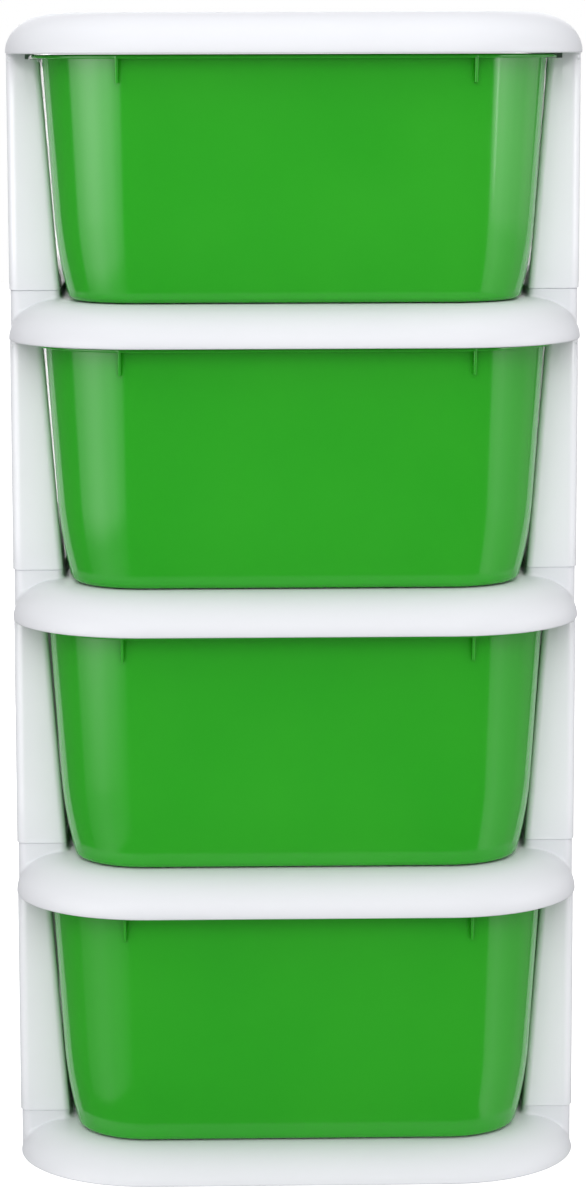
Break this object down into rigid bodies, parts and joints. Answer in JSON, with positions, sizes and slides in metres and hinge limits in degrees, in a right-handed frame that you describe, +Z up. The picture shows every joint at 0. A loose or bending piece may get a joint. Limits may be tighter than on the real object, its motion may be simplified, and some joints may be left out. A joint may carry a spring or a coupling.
{
  "type": "plastic drawer tower",
  "caption": "Narrow upright storage tower: a white snap-together plastic frame whose shelves have rolled front edges, with hanging pull-out tub drawers on side runners.",
  "frame": {"origin": "middle of the footprint, on the floor", "axes": "+Z up, +X to the right of someone facing the drawers, drawers pull out towards -Y"},
  "size_m": [0.33, 0.39, 0.67],
  "materials": {
    "frame_white": "smooth satin white injection-moulded plastic",
    "drawer_green": "smooth glossy leaf-green injection-moulded plastic"
  },
  "bodies": {
    "root": {"top_cover": "frame_white", "shelf_upper": "frame_white", "shelf_middle": "frame_white", "shelf_lower": "frame_white", "base": "frame_white", "side_panel_left_1": "frame_white", "side_panel_left_2": "frame_white", "side_panel_left_3": "frame_white", "side_panel_left_4": "frame_white", "side_panel_right_1": "frame_white", "side_panel_right_2": "frame_white", "side_panel_right_3": "frame_white", "side_panel_right_4": "frame_white"},
    "drawer_1": {"drawer_1": "drawer_green"},
    "drawer_2": {"drawer_2": "drawer_green"},
    "drawer_3": {"drawer_3": "drawer_green"},
    "drawer_4": {"drawer_4": "drawer_green"}
  },
  "joints": [
    {"name": "drawer_1_slide", "type": "slide", "parent": "root", "child": "drawer_1", "axis": [0, -1, 0], "range_m": [0, 0.24]},
    {"name": "drawer_2_slide", "type": "slide", "parent": "root", "child": "drawer_2", "axis": [0, -1, 0], "range_m": [0, 0.24]},
    {"name": "drawer_3_slide", "type": "slide", "parent": "root", "child": "drawer_3", "axis": [0, -1, 0], "range_m": [0, 0.24]},
    {"name": "drawer_4_slide", "type": "slide", "parent": "root", "child": "drawer_4", "axis": [0, -1, 0], "range_m": [0, 0.24]}
  ]
}
